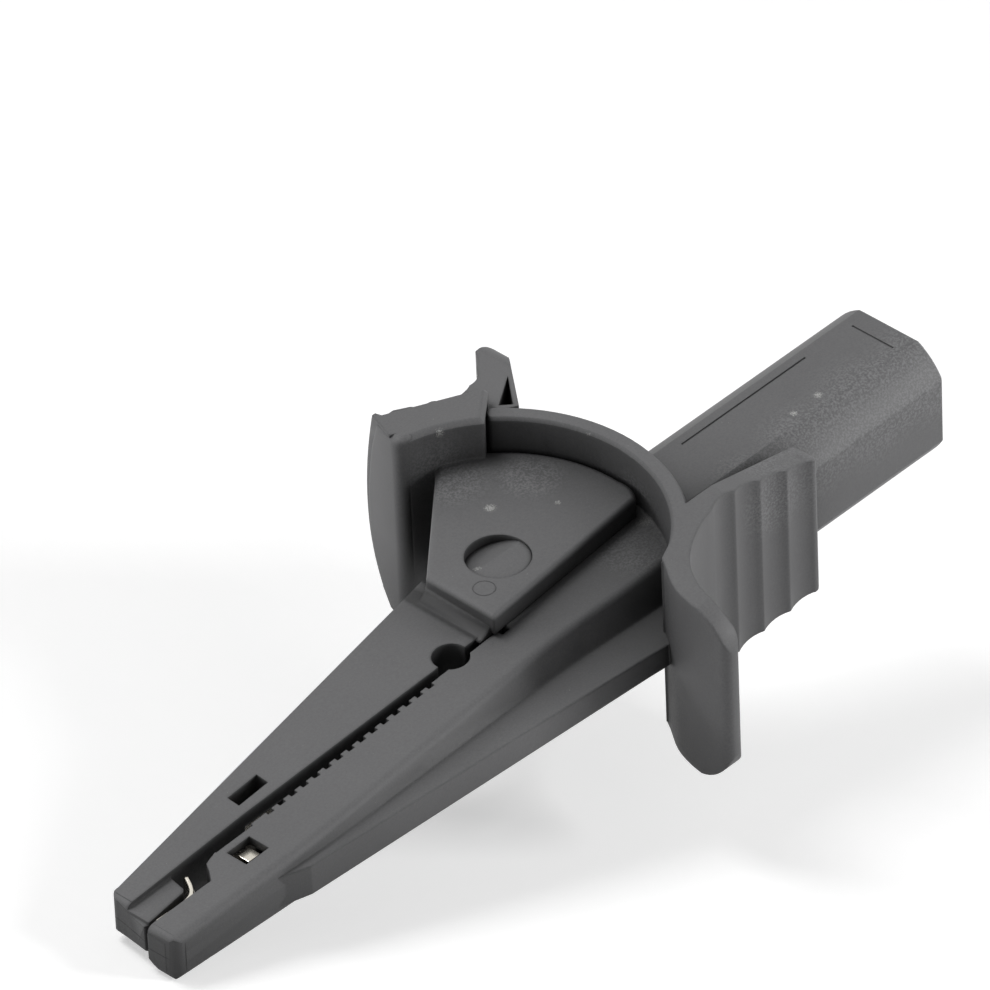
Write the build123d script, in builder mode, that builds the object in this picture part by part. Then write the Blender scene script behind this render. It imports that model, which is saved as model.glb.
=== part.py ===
from build123d import *
import os
from math import cos, radians, sin, tan

os.makedirs("parts", exist_ok=True)

# Frame: origin at the mouth of the 4 mm socket, on the tube axis. X runs along the clip, the jaws
# point to -X. Z is the hinge direction. Only the tips' chins and the hood's lower corner differ
# above and below Z = 0. Sizes are in mm.
# Plan points are written from the hinge pin's centre, as (along the clip, towards the lever).

# Overall layout
jaw_reach = 47.3            # hinge to the tips of the jaws
tube_reach = 41.8           # hinge to the open end of the tube
socket_recess = 2.0         # tube end to the mouth of the socket
hinge_offset = 4.0          # tube axis to hinge, sideways
pivot_x = socket_recess - tube_reach
pivot_y = hinge_offset

# Clearances
running_gap = 0.08          # cheek on body deck, and trunnion in cheek
pivot_gap = 0.05            # trunnion in its hole
free_gap = 0.30             # parts that pass without touching
seat_gap = 0.02             # inserts pushed into plastic

# Jaws
deck_edge_radius = 0.8
root_end = 14.5             # the jaw's root ends inside the ring and the tube
tip_half_height = 2.05      # half the height of both jaws at the tip
root_half_height = 3.5      # the same at the root, where the deck becomes level
seam_tip = 5.75             # seam face of the fixed jaw below the hinge line, towards the tip
seam_root = 4.45            # the same beside the hinge
tip_setback = 1.7           # step down of the fixed jaw's seam face at the tip
tip_step = 6.8              # length of that step, back from the tip
tip_corner = 1.1            # outer corner of the fixed jaw's tip, seen from above
tip_edge = 0.6              # upper and lower front edges of both tips
chin_level = 0.55           # underside of the tips below the mid-plane, at the very front
chin_length = 3.0           # length of the chin, back from the tips
slit = 1.25                 # widest gap between the closed jaws, behind the tips
slit_root = 0.72            # the same gap beside the hinge
lever_root_x = -4.4         # rear end of the lever jaw
lever_tip_width = 1.9       # width of the lever jaw at the tip
lever_outer_root = 4.15     # lever jaw's outer side above the hinge line, at the cheeks
wire_hole_radius = 1.55     # round wire hole on the seam
wire_hole_x = -9.6
notch_size = 0.9            # square notch on the seam, in front of the hinge

# Teeth along the seam
tooth_pitch = 1.33
tooth_depth = 0.35
tooth_first_x = -31.8
tooth_last_x = -12.5

# Flange along the fixed jaw
flange_half = 1.45          # half thickness at its front end
flange_half_root = 1.0      # the same at the guard
flange_tip = 10.4           # outer side of the fixed jaw at the tip, from the hinge line
flange_root = 13.9          # the same at the guard

# Lever cheeks and hinge
cheek_top = 5.35            # outer face of a cheek above the mid-plane
cheek_radius = 13.3
cheek_round = 0.45          # radius round the outer face of a cheek
trunnion_radius = 2.65
trunnion_top = 5.2
ramp_line = 0.15            # the ramp starts just past the middle of the trunnion
lobe_radius = 4.2           # body web round the trunnion
web_thickness = 1.45        # each of the two body webs that carry the trunnions

# Guard ring on the body
ring_inner = 13.65
ring_wall = 1.5
ring_half = 8.35
ring_end_angle = 44.5
rim_bevel = 0.3
guard_reach = 22.0          # hinge line to the outer edge of the body's finger guard
guard_thickness = 1.7

# Hood on the lever, which the guard ring slides into
hood_inner = 12.4
hood_outer = 16.6
hood_half = 9.2
hood_front = 1.9            # front face of the hood beside the cheek, behind the hinge
hood_lean = 1.7             # the front face leans back by this much over the scoop
hood_skin = 0.6
hood_reach = 17.9           # hinge line to the outside of the scoop
hood_round = 0.5
hood_end_angle = 47.5
slot_angle = 29.0           # the ring's end meets the end of this slot when the jaws are fully open
nose_half = 1.65

# Finger wings
wing_reach = 24.0           # hinge to the rear end of a wing, along it
wing_end_half = 6.3
rib_pitch = 2.75            # scallops between the ribs of the wings
scallop_radius = 3.0
scallop_depth = 0.32

# Tube
tube_radius = 6.5
tube_flats = 11.5
shroud_radius = 4.3         # recess for the sheath of a 4 mm safety plug
shroud_depth = 18.0
frame_line = 0.18           # engraved line on the upper flat
frame_line_depth = 0.1
frame_line_start = -20.4
frame_line_length = 14.6
edge_break = 0.4            # bevel round the end of the tube
boss_radius = 3.1
bore_radius = 2.0           # 4 mm socket
bore_depth = 16.5
contact_radius = 2.5
contact_length = 20.0
tail_radius = 1.4
tail_length = 5.0
channel_radius = 1.75       # wire channel from the socket to the hinge chamber

# Contact strip, inserts and spring
strip_thickness = 0.45
strip_half_height = 1.1
strip_y = -6.6              # strip in the fixed jaw, below the hinge line
insert_front = -38.3        # front end of the contact insert in the fixed jaw
insert_length = 5.0
insert_depth = 2.7
insert_half = 1.6           # half its height at the block
plate_half = 0.7            # half the height of its toothed plate
window_length = 2.5
window_width = 2.1
block_length = 1.3          # contact block that shows in the window
block_width = 1.15
lever_insert_x = -33.2
lever_insert_length = 4.2
leaf_thickness = 0.45
leaf_half = 1.7
wire_radius = 0.4           # spring wire
coil_radius = 3.3
coil_turns = 4
leg_length = 8.5
leg_steps = 6               # points that keep a leg straight
leg_angle = 15.0            # the lever's leg of the spring rises towards the lever

ring_outer = ring_inner + ring_wall
insert_back = insert_front + insert_length
insert_bottom = -5.1 - insert_depth
strip_top = strip_y + strip_thickness / 2 + seat_gap
tooth_count = int((tooth_last_x - tooth_first_x) / tooth_pitch) + 1
cheek_bottom = root_half_height + running_gap
lever_insert_back = lever_insert_x + lever_insert_length
spring_leg_z = 1.55         # height of the lever's leg, and of the body's leg below the mid-plane
leg_floor = -coil_radius - wire_radius - seat_gap    # the body's leg of the spring lies on this floor
leg_start = (-coil_radius * sin(radians(leg_angle)), -coil_radius * cos(radians(leg_angle)))
deck_slope = (root_half_height - tip_half_height) / jaw_reach


def deck(x):
    """Half height of the jaws at x from the hinge."""
    return root_half_height + deck_slope * min(0.0, x)


def seam(x):
    """Seam face of the fixed jaw in plan, a straight line."""
    return -seam_root + (seam_tip - seam_root) * x / jaw_reach


def leg_at(x):
    """Centre line of the spring's lever leg in plan, at x from the hinge."""
    return leg_start[1] + (leg_start[0] - x) * tan(radians(leg_angle))


def scallops(line, first, step, count, outside):
    """Centres of the scallops along a wing's outer line; outside is 1 to its left, -1 to its right."""
    centres = []
    for number in range(count):
        place = first + step * number
        run = line % place
        lift = outside * (scallop_radius - scallop_depth)
        centres.append((line @ place) + Vector(-run.Y, run.X, 0) * lift)
    return centres


def polar(radius, angle):
    """Plan point at a radius and an angle in degrees about the hinge."""
    return radius * cos(radians(angle)), radius * sin(radians(angle))


def level(z):
    """Plan plane through the hinge axis at height z."""
    return Plane(origin=(pivot_x, pivot_y, z))


def across(x):
    """Plane across the clip, at x from the hinge, with its own X along +Y and Y along +Z."""
    return Plane(origin=(pivot_x + x, pivot_y, 0), x_dir=(0, 1, 0), z_dir=(1, 0, 0))


def side(y):
    """Plane along the clip, at y from the hinge, with its own X along +X and Y along +Z."""
    return Plane(origin=(pivot_x, pivot_y + y, 0), x_dir=(1, 0, 0), z_dir=(0, -1, 0))


# Flange along the outside of the fixed jaw, thicker towards the tip
with BuildPart() as flange:
    with BuildSketch(level(-flange_half - 1)):
        Polygon((-37.5, -10.2), (-33.5, -11.45), (2.44, -flange_root + 0.15), (4.1, -flange_root),
                (8.0, -flange_root), (8.0, -8.0), (-30, -8.0), align=None)
    extrude(amount=2 * flange_half + 2)
    with BuildSketch(side(0)):
        Polygon((-38, flange_half), (8, flange_half_root), (8, -flange_half_root), (-38, -flange_half),
                align=None)
    extrude(amount=20, mode=Mode.INTERSECT)


# Body moulding: fixed jaw, hinge webs, guard ring, finger guard with wing, and tube
with BuildPart() as body_moulding:
    # Fixed jaw, upper half: a concave scoop falls from the deck to the flange
    scoop_rows = (
        (0.5, (10.8, 10.8, 10.4, 10.25, 10.4, 10.6)),
        (1.7, (10.55, 10.15, 9.75, 9.6, 9.8, 9.6)),
        (3.6, (10.25, 9.3, 8.85, 8.6, 8.7, 8.0)),
    )
    for height, reach in scoop_rows:
        with BuildSketch(level(height)):
            with BuildLine():
                Polyline((root_end, -reach[5]), (root_end, -2.0), (-jaw_reach - 0.3, -2.0),
                         (-jaw_reach - 0.15, -flange_tip), (-34.5, -reach[0]))
                Spline((-34.5, -reach[0]), (-19.9, -reach[1]), (-10.3, -reach[2]),
                       (-1.2, -reach[3]), (5.0, -reach[4]), (root_end, -reach[5]))
            make_face()
    loft()
    reach = scoop_rows[0][1]
    with BuildSketch(level(0)):
        with BuildLine():
            Polyline((root_end, -reach[5]), (root_end, -2.0), (-jaw_reach - 0.3, -2.0),
                     (-jaw_reach - 0.15, -flange_tip), (-34.5, -reach[0]))
            Spline((-34.5, -reach[0]), (-19.9, -reach[1]), (-10.3, -reach[2]),
                   (-1.2, -reach[3]), (5.0, -reach[4]), (root_end, -reach[5]))
        make_face()
    extrude(amount=0.5)
    with BuildSketch(side(0)):
        Polygon((-jaw_reach - 1, deck(-jaw_reach - 1)), (0, root_half_height),
                (root_end + 1, root_half_height), (root_end + 1, 5), (-jaw_reach - 1, 5), align=None)
    extrude(amount=15, mode=Mode.SUBTRACT)
    deck_edges = body_moulding.edges().filter_by_position(Axis.Z, tip_half_height - 0.1, root_half_height)
    deck_edges = deck_edges.filter_by_position(Axis.Y, -9, pivot_y - 7.5)
    fillet(deck_edges.filter_by_position(Axis.X, pivot_x - jaw_reach, pivot_x + root_end), deck_edge_radius)
    mirror(about=Plane.XY)
    add(flange.part)

    # Seam side: level seam face, a step down at the tip, and the space of the lever's cheeks
    with BuildSketch(level(-5)):
        with BuildLine():
            Polyline((root_end + 1, -1.0), (-jaw_reach - 1, -1.0),
                     (-jaw_reach - 1, seam(-jaw_reach) - tip_setback),
                     (-jaw_reach + tip_step, seam(-jaw_reach) - tip_setback - 0.1),
                     (-jaw_reach + tip_step + 0.7, seam(-jaw_reach) - 0.95),
                     (-jaw_reach + tip_step + 1.2, seam(-jaw_reach) - 0.15),
                     (-jaw_reach + tip_step + 2.6, seam(-38)),
                     (root_end + 1, seam(root_end + 1)), (root_end + 1, -1.0))
        make_face()
    extrude(amount=10, mode=Mode.SUBTRACT)

    # Rounded tip, and its chin, which rises to the seam at the very front
    with BuildSketch(level(-5)):
        with Locations((-jaw_reach + tip_corner - 0.15, -flange_tip + tip_corner)):
            Rectangle(3 * tip_corner, 3 * tip_corner, align=(Align.MAX, Align.MAX))
            Circle(tip_corner, mode=Mode.SUBTRACT)
    extrude(amount=10, mode=Mode.SUBTRACT)
    for direction in (1, -1):
        with BuildSketch(side(-1)):
            with Locations((-jaw_reach - 0.15 + tip_edge, direction * (tip_half_height - tip_edge))):
                Rectangle(3 * tip_edge, 3 * tip_edge,
                          align=(Align.MAX, Align.MIN if direction == 1 else Align.MAX))
                Circle(tip_edge, mode=Mode.SUBTRACT)
        extrude(amount=15, mode=Mode.SUBTRACT)
    with BuildSketch(across(-jaw_reach - 0.5)):
        Polygon((0, -chin_level), (seam(-jaw_reach) - tip_setback + 0.4, -chin_level),
                (-flange_tip + 0.9, -chin_level - 1.75), (-flange_tip + 0.9, -5), (0, -5), align=None)
    extrude(amount=chin_length, taper=30, mode=Mode.SUBTRACT)

    # Two webs that carry the trunnions, joined to the jaw below and to the ring behind
    for bottom in (root_half_height - web_thickness, -root_half_height):
        with BuildSketch(level(bottom)):
            Circle(lobe_radius)
            Polygon((-lobe_radius, -4.8), (-lobe_radius, 0), (0, lobe_radius), (12.0, 3.6), (14.2, 1.0),
                    (14.2, -4.8), align=None)
        extrude(amount=web_thickness)
    for direction in (1, -1):
        with BuildSketch(level(direction * (root_half_height - web_thickness))):
            Circle(trunnion_radius)
        extrude(amount=direction * (trunnion_top - root_half_height + web_thickness))
        with BuildSketch(level(direction * (root_half_height - web_thickness))):
            Circle(coil_radius - wire_radius - 0.35)
        extrude(amount=-direction * (root_half_height - web_thickness - 0.3))

        # Lead-in ramp on the half of the trunnion that enters the lever first
        with BuildSketch(across(-trunnion_radius - 0.5)):
            Polygon((ramp_line, direction * trunnion_top),
                    (trunnion_radius + 1, direction * (trunnion_top - 1.1)),
                    (trunnion_radius + 1, direction * (trunnion_top + 1)),
                    (ramp_line, direction * (trunnion_top + 1)),
                    align=None)
        extrude(amount=2 * trunnion_radius + 1, mode=Mode.SUBTRACT)

    # Guard ring, open on the lever's side where the hood slides over it, with bevelled rims
    for direction in (1, -1):
        with BuildSketch(level(0)):
            with BuildLine():
                CenterArc((0, 0), ring_outer, -67, ring_end_angle + 67)
                ThreePointArc(polar(ring_outer, ring_end_angle),
                              polar(ring_inner + ring_wall / 2, ring_end_angle + 2.4),
                              polar(ring_inner, ring_end_angle))
                CenterArc((0, 0), ring_inner, ring_end_angle, -67 - ring_end_angle)
                Line(polar(ring_inner, -67), polar(ring_outer, -67))
            make_face()
        extrude(amount=direction * (ring_half - rim_bevel))
        rim = body_moulding.faces().filter_by(Axis.Z).sort_by(Axis.Z)[-1 if direction == 1 else 0]
        extrude(rim, amount=rim_bevel, taper=35)

    # Finger guard and ribbed wing
    guard_front = 2.6
    guard_back = guard_front + guard_thickness
    with BuildSketch(level(-ring_half)):
        with BuildLine():
            Spline(polar(ring_inner, -66), (4.75, -13.7), (3.75, -15.17), (3.1, -16.79),
                   (guard_front, -20.9))
            ThreePointArc((guard_front, -20.9), (guard_front + guard_thickness / 2, -guard_reach),
                          (guard_back, -20.9))
            scoop_line = Spline((guard_back, -20.9), (4.7, -17.6), (6.3, -14.8), (9.2, -12.6),
                                (13.3, -11.2), (18.0, -11.2), (wing_reach, -11.9))
            ThreePointArc((wing_reach, -11.9), (wing_reach + 0.8, -10.6), (wing_reach, -9.3))
            Polyline((wing_reach, -9.3), (11.0, -9.3), polar(ring_inner + 0.5, -50), polar(ring_inner, -66))
        make_face()
        with Locations(*scallops(scoop_line, 1 - 1.6 / scoop_line.length,
                                 -rib_pitch / scoop_line.length, 4, -1)):
            Circle(scallop_radius, mode=Mode.SUBTRACT)
    extrude(amount=2 * ring_half)
    # Corners of guard and wing, seen from the front and from the side
    for direction in (1, -1):
        with BuildSketch(across(0)):
            with BuildLine():
                ThreePointArc((-16.6, direction * (ring_half + 0.1)), (-20.6, direction * 7.3),
                              (-22.1, direction * 4.6))
                Polyline((-22.1, direction * 4.6), (-22.1, direction * 10), (-16.6, direction * 10),
                         (-16.6, direction * (ring_half + 0.1)))
            make_face()
        extrude(amount=12, mode=Mode.SUBTRACT)
        with BuildSketch(side(-9.0)):
            with BuildLine():
                Line((14.5, direction * (ring_half + 0.05)), (23.5, direction * (wing_end_half + 0.35)))
                ThreePointArc((23.5, direction * (wing_end_half + 0.35)),
                              (24.5, direction * (wing_end_half - 0.05)),
                              (24.9, direction * (wing_end_half - 1)))
                Polyline((24.9, direction * (wing_end_half - 1)), (26, direction * (wing_end_half - 1)),
                         (26, direction * 10), (14.5, direction * 10),
                         (14.5, direction * (ring_half + 0.05)))
            make_face()
        extrude(amount=6, mode=Mode.SUBTRACT)

    # Tube, a round cut by four flats
    with BuildSketch(Plane.YZ.offset(pivot_x + ring_inner)):
        Circle(tube_radius)
        Rectangle(tube_flats, tube_flats, mode=Mode.INTERSECT)
    extrude(amount=socket_recess - edge_break - pivot_x - ring_inner)
    with BuildSketch(Plane.YZ.offset(socket_recess - edge_break)):
        Circle(tube_radius)
        Rectangle(tube_flats, tube_flats, mode=Mode.INTERSECT)
    extrude(amount=edge_break, taper=45)

    # Inside of the tube: shroud around the boss, contact bore with its snap groove, wire channel
    with BuildSketch(Plane.YZ.offset(socket_recess)):
        Circle(shroud_radius)
    extrude(amount=-socket_recess - 0.01, mode=Mode.SUBTRACT)
    with BuildSketch(Plane.YZ):
        Circle(shroud_radius)
        Circle(boss_radius, mode=Mode.SUBTRACT)
        Circle(contact_radius + seat_gap)
    extrude(amount=-shroud_depth + socket_recess, mode=Mode.SUBTRACT)
    with BuildSketch(Plane.YZ.offset(-contact_length)):
        Circle(contact_radius + seat_gap)
    extrude(amount=contact_length - shroud_depth + 2 * socket_recess, mode=Mode.SUBTRACT)

    # Chamber of the spring and of the contact strip between the webs
    chamber_half = root_half_height - web_thickness
    with BuildSketch(level(-chamber_half)):
        Polygon((-lobe_radius - 1, leg_floor), (-lobe_radius - 1, 6), (12.3, 6), (12.3, leg_floor),
                align=None)
        Circle(coil_radius + wire_radius + free_gap)
    extrude(amount=2 * chamber_half, mode=Mode.SUBTRACT)
    with BuildSketch(Plane.YZ.offset(-contact_length + 0.5)):
        Circle(channel_radius)
    extrude(amount=-13.5, mode=Mode.SUBTRACT)

    # Seat of the contact insert, open at the seam, and the window through which it shows
    with BuildSketch(level(-insert_half - seat_gap)):
        Polygon((insert_front - seat_gap, -4.0), (insert_front - seat_gap, insert_bottom - seat_gap),
                (insert_back + seat_gap, insert_bottom - seat_gap), (insert_back + seat_gap, -4.0),
                align=None)
    extrude(amount=2 * insert_half + 2 * seat_gap, mode=Mode.SUBTRACT)
    with BuildSketch(level(-5)):
        with Locations((insert_front + insert_length / 2 - 0.35, insert_bottom + 0.5)):
            Rectangle(window_length, window_width)
        Polygon((insert_front + 0.4, -4.0), (insert_front + 0.4, -5.6), (insert_back - 0.5, -5.6),
                (insert_back - 0.5, -4.0), align=None)
    extrude(amount=10, mode=Mode.SUBTRACT)
    # Channel of the contact strip along the jaw, into the chamber and up to the tube's axis
    with BuildSketch(level(-strip_half_height - seat_gap)):
        Polygon((insert_back - 0.5, strip_y - strip_thickness / 2 - seat_gap),
                (insert_back - 0.5, strip_y + strip_thickness / 2 + seat_gap), (5.0, strip_top),
                (8.0, -3.0), (12.5, -3.0), (12.5, -5.2), (9.0, -5.2), (6.0, strip_y - 0.3), align=None)
    extrude(amount=2 * strip_half_height + 2 * seat_gap, mode=Mode.SUBTRACT)
    # Round wire hole on the seam, and the small notch behind it
    with BuildSketch(level(-5)):
        with Locations((wire_hole_x, seam(wire_hole_x) + 0.9)):
            Circle(wire_hole_radius)
    extrude(amount=10, mode=Mode.SUBTRACT)
    with BuildSketch(level(0)):
        with Locations((-4.7, -4.7)):
            Rectangle(notch_size, notch_size)
    extrude(amount=5, both=True, mode=Mode.SUBTRACT)
    # Engraved frame line on the upper flat of the tube
    with BuildSketch(Plane.XY.offset(tube_flats / 2)):
        with Locations((frame_line_start + frame_line_length / 2, 2.2)):
            Rectangle(frame_line_length, frame_line)
        with Locations((-0.3, -0.1)):
            Rectangle(frame_line, 4.4)
    extrude(amount=-frame_line_depth, mode=Mode.SUBTRACT)
    # Teeth along the seam
    with BuildSketch(level(-5)):
        for step in range(tooth_count):
            with Locations((tooth_first_x + tooth_pitch * step, seam(tooth_first_x + tooth_pitch * step))):
                Rectangle(tooth_pitch / 2, 2 * tooth_depth)
    extrude(amount=10, mode=Mode.SUBTRACT)

body_moulding.part.label = "body_moulding"
export_step(body_moulding.part, "parts/body_moulding.step")


# Upper cheek of the lever, with its rounded rim and the concave foot down to the jaw
with BuildPart() as cheek:
    with BuildSketch(level(cheek_bottom)):
        with BuildLine():
            Polyline((-5.6, 2.5), (-5.7, -4.9), (12.4, -3.32))
            Spline((12.4, -3.32), (13.05, -2.5), polar(cheek_radius, -3))
            CenterArc((0, 0), cheek_radius, -3, 60)
            Polyline(polar(cheek_radius, 57), (5.3, 11.5), (4.4, 10.9), (-5.6, 2.5))
        make_face()
    extrude(amount=cheek_top - cheek_bottom)
    fillet(cheek.faces().sort_by(Axis.Z)[-1].edges(), cheek_round)
    with BuildSketch(side(-seam_root + 0.05)):
        with BuildLine():
            ThreePointArc((-5.55, cheek_top - 0.9), (-5.95, 3.75), (-6.9, deck(-6.9) - 0.1))
            Polyline((-6.9, deck(-6.9) - 0.1), (lever_root_x, 1.0), (lever_root_x, cheek_top - 0.9),
                     (-5.55, cheek_top - 0.9))
        make_face()
    extrude(amount=-7)


# Hood, a rounded sector over the end of the guard ring
with BuildPart() as hood:
    with BuildSketch(level(-hood_half)):
        with BuildLine():
            CenterArc((0, 0), hood_inner, hood_end_angle, 81 - hood_end_angle)
            Polyline(polar(hood_inner, 81), (hood_front + 1.2, hood_outer - 0.2), (12.0, 12.0),
                     polar(hood_inner, hood_end_angle))
        make_face()
    extrude(amount=2 * hood_half)
    fillet(hood.edges().filter_by(Axis.Z).sort_by(Axis.X)[0], 2 * hood_round)
    fillet(hood.edges().filter_by(Axis.Z).sort_by(Axis.Y)[-1], hood_round)
    fillet(hood.edges().filter_by(Axis.Z).sort_by(Axis.X)[-1], hood_round)
    chamfer(hood.faces().sort_by(Axis.Z)[0].edges() + hood.faces().sort_by(Axis.Z)[-1].edges(),
            0.8 * hood_round)


# Lever moulding: jaw, two cheeks, hood over the guard ring, and ribbed wing
with BuildPart() as lever_moulding:
    # Finger scoop and ribbed wing outside the hood: plan first, then trimmed from the front and the side
    scoop_front = hood_front + hood_lean
    with BuildSketch(level(-hood_half)):
        with BuildLine():
            wing_line = Spline((scoop_front, hood_reach), (4.6, hood_reach - 0.6), (7.5, 15.7),
                               (10.4, 14.4),
                               (12.5, 14.75), (16.6, hood_reach))
            ThreePointArc((16.6, hood_reach), (18.2, hood_reach - 0.3), (18.5, 16.1))
            Polyline((18.5, 16.1), (13.2, 9.95), (10.6, 10.6), polar(hood_inner + 1, 60),
                     (hood_front + 0.2, 13.5),
                     (scoop_front, hood_reach))
        make_face()
        with Locations(*scallops(wing_line, 1 - 4.3 / wing_line.length, -rib_pitch / wing_line.length,
                                 3, 1)):
            Circle(scallop_radius, mode=Mode.SUBTRACT)
    extrude(amount=2 * hood_half)
    with BuildSketch(across(0)):
        with BuildLine():
            Spline((hood_reach - 1.6, hood_half), (hood_reach - 0.6, 4.9), (hood_reach - 0.1, 0),
                   (hood_reach - 0.6, -4.6), (hood_reach - 3.2, -hood_half))
            Polyline((hood_reach - 3.2, -hood_half), (hood_reach - 3.2, -12), (hood_reach + 3, -12),
                     (hood_reach + 3, 12), (hood_reach - 1.6, 12), (hood_reach - 1.6, hood_half))
        make_face()
    extrude(amount=9, mode=Mode.SUBTRACT)
    for direction in (1, -1):
        with BuildSketch(side(hood_reach + 4)):
            with BuildLine():
                Polyline((hood_front, direction * 9.3), (hood_front + 1.4, direction * 9.3),
                         (4.8, direction * 7.9),
                         (11.5, direction * 7.7), (17.0, direction * (wing_end_half + 0.3)))
                ThreePointArc((17.0, direction * (wing_end_half + 0.3)),
                              (18.3, direction * (wing_end_half - 0.2)),
                              (18.8, direction * (wing_end_half - 1.3)))
                Polyline((18.8, direction * (wing_end_half - 1.3)), (20, direction * (wing_end_half - 1.3)),
                         (20, direction * 12), (hood_front, direction * 12), (hood_front, direction * 9.3))
            make_face()
        extrude(amount=14, mode=Mode.SUBTRACT)
        # Pocket that cores out the thick root of the wing
        with BuildSketch(level(direction * 1.0)):
            Polygon((11.9, 10.95), (15.9, 13.7), (12.95, 10.35), align=None)
        extrude(amount=direction * 9, mode=Mode.SUBTRACT)

    # Jaw, with the lever's seam face above the fixed jaw's
    with BuildSketch(level(-root_half_height)):
        with BuildLine():
            Polyline((-jaw_reach + 0.75, -3.4), (-jaw_reach + 0.6, -4.55), (-33.6, seam(-33.6) + slit),
                     (lever_root_x, seam(lever_root_x) + slit_root), (lever_root_x, lever_outer_root),
                     (-jaw_reach + 1.7, -4.45 + lever_tip_width))
            ThreePointArc((-jaw_reach + 1.7, -4.45 + lever_tip_width),
                          (-jaw_reach + 0.95, -4.7 + lever_tip_width),
                          (-jaw_reach + 0.75, -3.4))
        make_face()
    extrude(amount=2 * root_half_height)
    for direction in (1, -1):
        with BuildSketch(side(8)):
            Polygon((-jaw_reach - 1, direction * deck(-jaw_reach - 1)), (0, direction * root_half_height),
                    (0, direction * 5), (-jaw_reach - 1, direction * 5), align=None)
        extrude(amount=15, mode=Mode.SUBTRACT)
    # Nose that closes onto the step at the tip of the fixed jaw
    with BuildSketch(level(-nose_half)):
        Polygon((-jaw_reach + 0.8, -3.6), (-jaw_reach + 0.6, -4.5), (-jaw_reach + 0.2, -6.75),
                (-jaw_reach + 0.5, -6.9),
                (-42.4, -6.35), (-42.1, -6.1), (-41.8, -4.5), (-41.0, -3.6), align=None)
    extrude(amount=2 * nose_half)
    # Front edges and chin of the lever's tip, in line with those of the fixed jaw
    for direction in (1, -1):
        with BuildSketch(side(-1)):
            with Locations((-jaw_reach + 0.6 + tip_edge, direction * (tip_half_height - tip_edge))):
                Rectangle(3 * tip_edge, 3 * tip_edge,
                          align=(Align.MAX, Align.MIN if direction == 1 else Align.MAX))
                Circle(tip_edge, mode=Mode.SUBTRACT)
        extrude(amount=15, mode=Mode.SUBTRACT)
    with BuildSketch(across(-jaw_reach - 0.5)):
        Polygon((-1, -chin_level), (-9, -chin_level), (-9, -5), (-1, -5), align=None)
    extrude(amount=chin_length, taper=30, mode=Mode.SUBTRACT)
    # Cheeks, straddling the body's webs, and the bridge that joins them to the jaw
    add(cheek.part)
    add(mirror(cheek.part, about=Plane.XY))
    # Hood round the guard ring
    add(hood.part)
    # Lower outer corner of the hood, rounded
    with BuildSketch(across(0)):
        with BuildLine():
            Spline((hood_reach - 0.5, -4.2), (hood_reach - 1.3, -7.0), (hood_reach - 3.2, -hood_half))
            Polyline((hood_reach - 3.2, -hood_half), (hood_reach - 3.2, -12), (hood_reach + 3, -12),
                     (hood_reach + 3, -4.2), (hood_reach - 0.5, -4.2))
        make_face()
    extrude(amount=9, mode=Mode.SUBTRACT)
    # Space of the guard ring inside the hood
    with BuildSketch(level(-hood_half + hood_skin)):
        with BuildLine():
            CenterArc((0, 0), ring_outer + 0.25, hood_end_angle - 12, slot_angle + 12)
            CenterArc((0, 0), ring_inner - free_gap, hood_end_angle - 12, slot_angle + 12)
            Line(polar(ring_inner - free_gap, hood_end_angle - 12),
                 polar(ring_outer + 0.25, hood_end_angle - 12))
            Line(polar(ring_inner - free_gap, hood_end_angle + slot_angle),
                 polar(ring_outer + 0.25, hood_end_angle + slot_angle))
        make_face()
    extrude(amount=2 * (hood_half - hood_skin), mode=Mode.SUBTRACT)
    # Trunnion holes
    with BuildSketch(level(-cheek_top)):
        Circle(trunnion_radius + pivot_gap)
    extrude(amount=2 * cheek_top, mode=Mode.SUBTRACT)
    # Other half of the wire hole, window over the lever's insert, and the insert's seat at the seam
    with BuildSketch(level(-5)):
        with Locations((wire_hole_x, seam(wire_hole_x) + 0.9)):
            Circle(wire_hole_radius)
        Polygon((-32.84, -3.18), (-32.75, -1.86), (-29.33, -1.7), (-29.43, -3.03), align=None)
    extrude(amount=10, mode=Mode.SUBTRACT)
    with BuildSketch(level(-strip_half_height - seat_gap)):
        Polygon((lever_insert_x - seat_gap, -4.5), (lever_insert_x - seat_gap, -2.3),
                (lever_insert_back + seat_gap, -2.3), (lever_insert_back + seat_gap, -4.5), align=None)
    extrude(amount=2 * strip_half_height + 2 * seat_gap, mode=Mode.SUBTRACT)
    # Slot for the spring's leg, in from the rear face of the jaw
    with BuildSketch(level(spring_leg_z - wire_radius - 0.1)):
        with BuildLine():
            foot = (leg_start[0] - leg_length * cos(radians(leg_angle)) - 0.6,
                    leg_start[1] + leg_length * sin(radians(leg_angle)))
            Polyline((lever_root_x + 0.5, leg_at(lever_root_x + 0.5) - wire_radius),
                     (lever_root_x + 0.5, leg_at(lever_root_x + 0.5) + 1.4),
                     (foot[0], foot[1] + 0.6), (foot[0], foot[1] - wire_radius),
                     (lever_root_x + 0.5, leg_at(lever_root_x + 0.5) - wire_radius))
        make_face()
    extrude(amount=2 * wire_radius + 0.2, mode=Mode.SUBTRACT)

lever_moulding.part.label = "lever_moulding"
export_step(lever_moulding.part, "parts/lever_moulding.step")


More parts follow.
